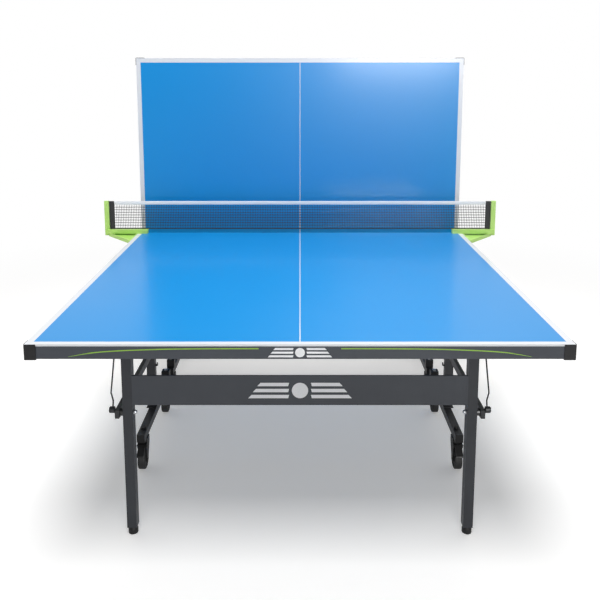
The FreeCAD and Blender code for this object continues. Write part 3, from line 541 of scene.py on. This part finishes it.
def wovenCloth(name, colour, light, threadsPerMetre, roughness, bump, fuzziness):
    finish, tree, shader, place = startFinish(name)
    axes = splitAxes(tree, place)
    warp = maths(tree, "SINE", maths(tree, "MULTIPLY", axes[0], threadsPerMetre * 2 * math.pi))
    weft = maths(tree, "SINE", maths(tree, "MULTIPLY", axes[2], threadsPerMetre * 2 * math.pi))
    weave = maths(tree, "MULTIPLY", warp, weft)
    fuzz = speckle(tree, place, threadsPerMetre * 1.7, 3.0)
    lit = spread(tree, maths(tree, "ADD", weave, fuzz), 0.0, 1.0, -0.6, 1.4)
    tree.links.new(blendColours(tree, lit, colour, light), shader.inputs["Base Color"])
    rough = spread(tree, fuzz, roughness - 0.05, roughness + 0.05)
    tree.links.new(rough, shader.inputs["Roughness"])
    shader.inputs["Sheen Weight"].default_value = fuzziness
    shader.inputs["Sheen Roughness"].default_value = 0.5
    raise3d(tree, shader, weave, bump, 0.0003)
    return finish


def twistedString(name, look):
    finish, tree, shader, place = startFinish(name)
    strands = speckle(tree, place, 1900.0, 2.0)
    mixed = spread(tree, strands, 0.0, 1.0)
    colour = blendColours(tree, mixed, look["string"], look["stringLight"])
    tree.links.new(colour, shader.inputs["Base Color"])
    rough = spread(tree, strands, 0.62, 0.78)
    tree.links.new(rough, shader.inputs["Roughness"])
    raise3d(tree, shader, strands, 0.4, 0.0003)
    return finish


def bandLoop(halfDeep, halfHigh, corner):
    # outline of a folded band: a rounded bar, as (out, up) places
    outline = []
    for cx, cz, first in ((1, 1, 0), (-1, 1, 90), (-1, -1, 180), (1, -1, 270)):
        for k in range(4):
            turn = math.radians(first + 30 * k)
            outline.append((
                cx * (halfDeep - corner) + corner * math.cos(turn),
                cz * (halfHigh - corner) + corner * math.sin(turn),
            ))
    return outline


def sweepBand(name, finish, stations, outlineAt, placeAt):
    points, faces = [], []
    ring = None
    for i, spot in enumerate(stations):
        outline = outlineAt(spot)
        ring = len(outline)
        points += [placeAt(spot, out, up) for out, up in outline]
        if i:
            a = (i - 1) * ring
            for k in range(ring):
                n = (k + 1) % ring
                faces.append((a + k, a + n, a + ring + n, a + ring + k))
    faces.append(tuple(reversed(range(ring))))
    faces.append(tuple((len(stations) - 1) * ring + k for k in range(ring)))
    return makePiece(name, points, faces, finish, smooth=True)


def buildNet(look):
    low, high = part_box("net_fabric")
    netLine = (low.y + high.y) / 2
    reach = high.x
    meshReach = reach - look["sleeveWide"]
    tapeBottom = high.z - look["tapeHigh"]
    hemTop = low.z + look["hemHigh"]
    wander = random.Random(7)

    # strings: verticals hang from the tape to the hem, horizontals run sleeve to sleeve
    rows = round((tapeBottom - hemTop) / look["cellHigh"])
    columns = round(2 * meshReach / look["cellWide"])
    rowStep = (tapeBottom - hemTop) / rows
    columnStep = 2 * meshReach / columns
    knots = {}
    for i in range(columns + 1):
        for j in range(rows + 1):
            jitter = look["wander"] if 0 < j < rows else 0.0
            knots[i, j] = (
                -meshReach + i * columnStep + wander.uniform(-jitter, jitter),
                netLine + wander.uniform(-jitter, jitter),
                hemTop + j * rowStep + wander.uniform(-jitter, jitter),
            )
    points, faces = [], []
    ring = look["stringRing"]
    for i in range(1, columns):
        line, swell = [], []
        for j in range(rows + 1):
            spot = Vector(knots[i, j])
            if j == 0:
                spot.z -= look["hemHigh"] / 2
            if j == rows:
                spot.z += look["tapeHigh"] / 2
            if j:
                line.append(tuple((Vector(line[-1]) + spot) / 2))
                swell.append(look["between"])
            line.append(tuple(spot))
            swell.append(look["knotSwell"] if 0 < j < rows else 1.0)
        addTube(points, faces, line, (1, 0, 0), ring, look["stringWide"], look["stringDeep"], swell)
    for j in range(1, rows):
        line, swell = [], []
        for i in range(columns + 1):
            spot = Vector(knots[i, j])
            if i == 0:
                spot.x -= look["sleeveWide"] / 2
            if i == columns:
                spot.x += look["sleeveWide"] / 2
            line.append(tuple(spot))
            swell.append(look["knotSwell"] if 0 < i < columns else 1.0)
        addTube(points, faces, line, (0, 0, 1), ring, look["stringWide"], look["stringDeep"], swell)
    strings = makePiece("netStrings", points, faces, twistedString("netString", look), smooth=True)

    # white tape folded over the top cord, and the dark hem below
    tapeReach = meshReach + look["sleeveWide"] * 0.4
    steps = look["bandSteps"]
    stations = [-tapeReach + 2 * tapeReach * k / steps for k in range(steps + 1)]
    whiteTape = wovenCloth("tapeCloth", look["tape"], look["tapeShade"], 900.0, 0.75, 0.25, 0.25)
    darkCloth = wovenCloth("sleeveCloth", look["sleeve"], look["sleeveLight"], 800.0, 0.8, 0.4, 0.03)

    def tapeOutline(spot):
        pinch = 0.90 + 0.06 * math.sin(spot * 31.0) + 0.04 * math.sin(spot * 83.0 + 1.0)
        return bandLoop(look["tapeDeep"] / 2 * pinch, look["tapeHigh"] / 2, 0.0014)

    def tapePlace(spot, out, up):
        sway = look["sway"] * math.sin(spot * 17.0)
        fold = look["cordBulge"] if up > look["tapeHigh"] * 0.3 else 1.0     # round the top cord
        return (spot, netLine + sway + out * fold, high.z - look["tapeHigh"] / 2 + up)

    tape = sweepBand("netTape", whiteTape, stations, tapeOutline, tapePlace)

    hemReach = meshReach + look["hemTuck"]
    hemStations = [-hemReach + 2 * hemReach * k / steps for k in range(steps + 1)]

    def hemOutline(spot):
        pinch = 0.88 + 0.12 * math.sin(spot * 47.0)
        return bandLoop(look["hemDeep"] / 2 * pinch, look["hemHigh"] / 2, 0.0010)

    def hemPlace(spot, out, up):
        sway = look["sway"] * math.sin(spot * 23.0)
        return (spot, netLine + sway + out, low.z + look["hemHigh"] / 2 + up)

    hem = sweepBand("netHem", darkCloth, hemStations, hemOutline, hemPlace)

    # black sleeves, padded between their two seams
    sleeves = []
    sleeveSteps = look["sleeveSteps"]
    for side, sign in (("left", -1), ("right", 1)):
        heights = [low.z + (high.z - low.z) * k / sleeveSteps for k in range(sleeveSteps + 1)]

        def sleeveOutline(spot):
            puff = 0.86 + 0.10 * math.sin(spot * 130.0) * math.sin(spot * 41.0)
            outline = []
            for k in range(look["sleeveRing"]):
                turn = 2 * math.pi * k / look["sleeveRing"]
                c, s = math.cos(turn), math.sin(turn)
                across = math.copysign(abs(c) ** 0.7, c) * look["sleeveWide"] / 2
                out = math.copysign(abs(s) ** 0.8, s) * look["sleeveDeep"] / 2 * puff
                outline.append((across, out))
            return outline

        def sleevePlace(spot, across, out, sign=sign):
            return (sign * (reach - look["sleeveWide"] / 2) + across, netLine + out, spot)

        name = f"netSleeve{side.capitalize()}"
        sleeves.append(sweepBand(name, darkCloth, heights, sleeveOutline, sleevePlace))

    for piece in (strings, tape, hem, *sleeves):
        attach(piece, "near_top")
    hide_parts("net_fabric")
    print("net strung:", columns, "by", rows, "cells")


buildNet(netLook)


# printed stripes and marks

printLook = {
    "lime": rgb(0.21, 0.43, 0.02),
    "limeLight": rgb(0.26, 0.49, 0.04),
    "white": rgb(0.80, 0.81, 0.83),
    "whiteShade": rgb(0.74, 0.75, 0.77),
    "proud": 0.00025,
    "thick": 0.00015,
    "stripePath": (
        (0.641, -0.0300), (0.600, -0.0225), (0.566, -0.0175),
        (0.510, -0.0132), (0.450, -0.0105), (0.370, -0.0080),
        (0.290, -0.0070), (0.200, -0.0066), (0.114, -0.0065),
    ),
    "stripeWide": 0.0030,
    "stripeTip": 0.25,          # its width at the outer end, as a share
    "spansPerPoint": 6,
    "apronMark": (0.178, 0.027),
    "apronMarkDrop": 0.0180,
    "crosspieceMark": (0.33, 0.052),
    "ballSides": 40,
    "bars": 3,
    "barShare": 0.22,           # a bar's height in the mark's height
}


def screenPrint(name, colour, light):
    finish, tree, shader, place = startFinish(name)
    ink = spread(tree, speckle(tree, place, 260.0, 3.0), 0.0, 1.0)
    tree.links.new(blendColours(tree, ink, colour, light), shader.inputs["Base Color"])
    rough = spread(tree, speckle(tree, place, 500.0, 2.0), 0.40, 0.52)
    tree.links.new(rough, shader.inputs["Roughness"])
    raise3d(tree, shader, speckle(tree, place, 700.0, 2.0), 0.15, 0.0002)
    return finish


def inkSheet(name, outlines, finish, origin, rightWay, upWay, body, slot):
    # thin closed prints lying on a plane; each outline is a convex loop of (u, v) places
    rightWay, upWay = Vector(rightWay), Vector(upWay)
    outWay = rightWay.cross(upWay)
    points, faces = [], []
    for outline in outlines:
        count = len(outline)
        start = len(points)
        for lift in (printLook["proud"] - printLook["thick"], printLook["proud"]):
            for u, v in outline:
                points.append(tuple(Vector(origin) + rightWay * u + upWay * v + outWay * lift))
        faces.append(tuple(start + count + k for k in range(count)))
        faces.append(tuple(start + k for k in reversed(range(count))))
        for k in range(count):
            n = (k + 1) % count
            faces.append((start + k, start + n, start + count + n, start + count + k))
    piece = makePiece(name, points, faces, finish)
    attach(piece, body)
    return piece


def loopArea(loop):
    following = loop[1:] + loop[:1]
    return sum(a[0] * b[1] - b[0] * a[1] for a, b in zip(loop, following))


def smoothPath(path, spans):
    # a curve through every point of the path
    smooth = []
    last = len(path) - 1
    for i in range(last):
        before, a, b, after = path[max(i - 1, 0)], path[i], path[i + 1], path[min(i + 2, last)]
        for k in range(spans):
            t = k / spans
            second = 2 * before - 5 * a + 4 * b - after
            third = 3 * a - before - 3 * b + after
            smooth.append(0.5 * ((2 * a) + (b - before) * t + second * t * t + third * t ** 3))
    smooth.append(path[-1])
    return smooth


def stripeOutlines(look):
    # a stripe on each side of the mark, thinning to a point at its low outer end
    smooth = smoothPath([Vector(p) for p in look["stripePath"]], look["spansPerPoint"])
    outlines = []
    for sign in (-1, 1):
        previous = None
        for i, spot in enumerate(smooth):
            share = min(1.0, look["stripeTip"] + i / 14)
            ahead = smooth[min(i + 1, len(smooth) - 1)] - smooth[max(i - 1, 0)]
            normal = Vector((-ahead.y, ahead.x)).normalized() * look["stripeWide"] / 2 * share
            upper = (sign * (spot.x + normal.x), spot.y + normal.y)
            lower = (sign * (spot.x - normal.x), spot.y - normal.y)
            if previous:
                quad = [*previous, lower, upper]
                outlines.append(quad if loopArea(quad) > 0 else quad[::-1])
            previous = (upper, lower)
    return outlines


def ballAndBars(look, wide, high):
    # plain mark: a ball between two sets of slanted bars
    radius = high / 2
    turns = [2 * math.pi * k / look["ballSides"] for k in range(look["ballSides"])]
    outlines = [[(radius * math.cos(turn), radius * math.sin(turn)) for turn in turns]]
    thick = high * look["barShare"]
    gap = (high - look["bars"] * thick) / (look["bars"] - 1)
    lean = thick * 0.9
    for sign in (-1, 1):
        for k in range(look["bars"]):
            bottom = -high / 2 + k * (thick + gap)
            inner = radius * 1.45
            outer = wide / 2 - high * 0.28 * k
            quad = [
                (sign * inner, bottom),
                (sign * outer, bottom),
                (sign * (outer - lean), bottom + thick),
                (sign * (inner - lean * 0.3), bottom + thick),
            ]
            outlines.append(quad if sign > 0 else quad[::-1])
    return outlines


def printMarks(look):
    limeInk = screenPrint("limeInk", look["lime"], look["limeLight"])
    whiteInk = screenPrint("whiteInk", look["white"], look["whiteShade"])
    drop = look["apronMarkDrop"]
    apronMark = [[(u, v - drop) for u, v in loop] for loop in ballAndBars(look, *look["apronMark"])]
    barMark = ballAndBars(look, *look["crosspieceMark"])
    up = (0, 0, 1)
    for half in halves:
        apronLow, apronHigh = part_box(f"{half}_end_apron")
        barLow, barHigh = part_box(f"{half}_leg_crosspiece")
        apronSpot = (0, apronLow.y, apronHigh.z)
        if half == "near":
            barFace = barLow.y
            rightWay, apronUp = (1, 0, 0), up
        else:                   # folded: the apron faces up and the crosspiece away
            barFace = barHigh.y
            rightWay, apronUp = (-1, 0, 0), (0, -1, 0)
        barSpot = (0, barFace, (barLow.z + barHigh.z) / 2)
        top, leg = f"{half}_top", f"{half}_leg"
        onApron = (apronSpot, rightWay, apronUp, top)
        inkSheet(f"{half}Stripe", stripeOutlines(look), limeInk, *onApron, "lime_plastic")
        inkSheet(f"{half}ApronMark", apronMark, whiteInk, *onApron, "grey_steel")
        inkSheet(f"{half}CrosspieceMark", barMark, whiteInk, barSpot, rightWay, up, leg, "grey_steel")
    print("stripes and marks printed")


printMarks(printLook)
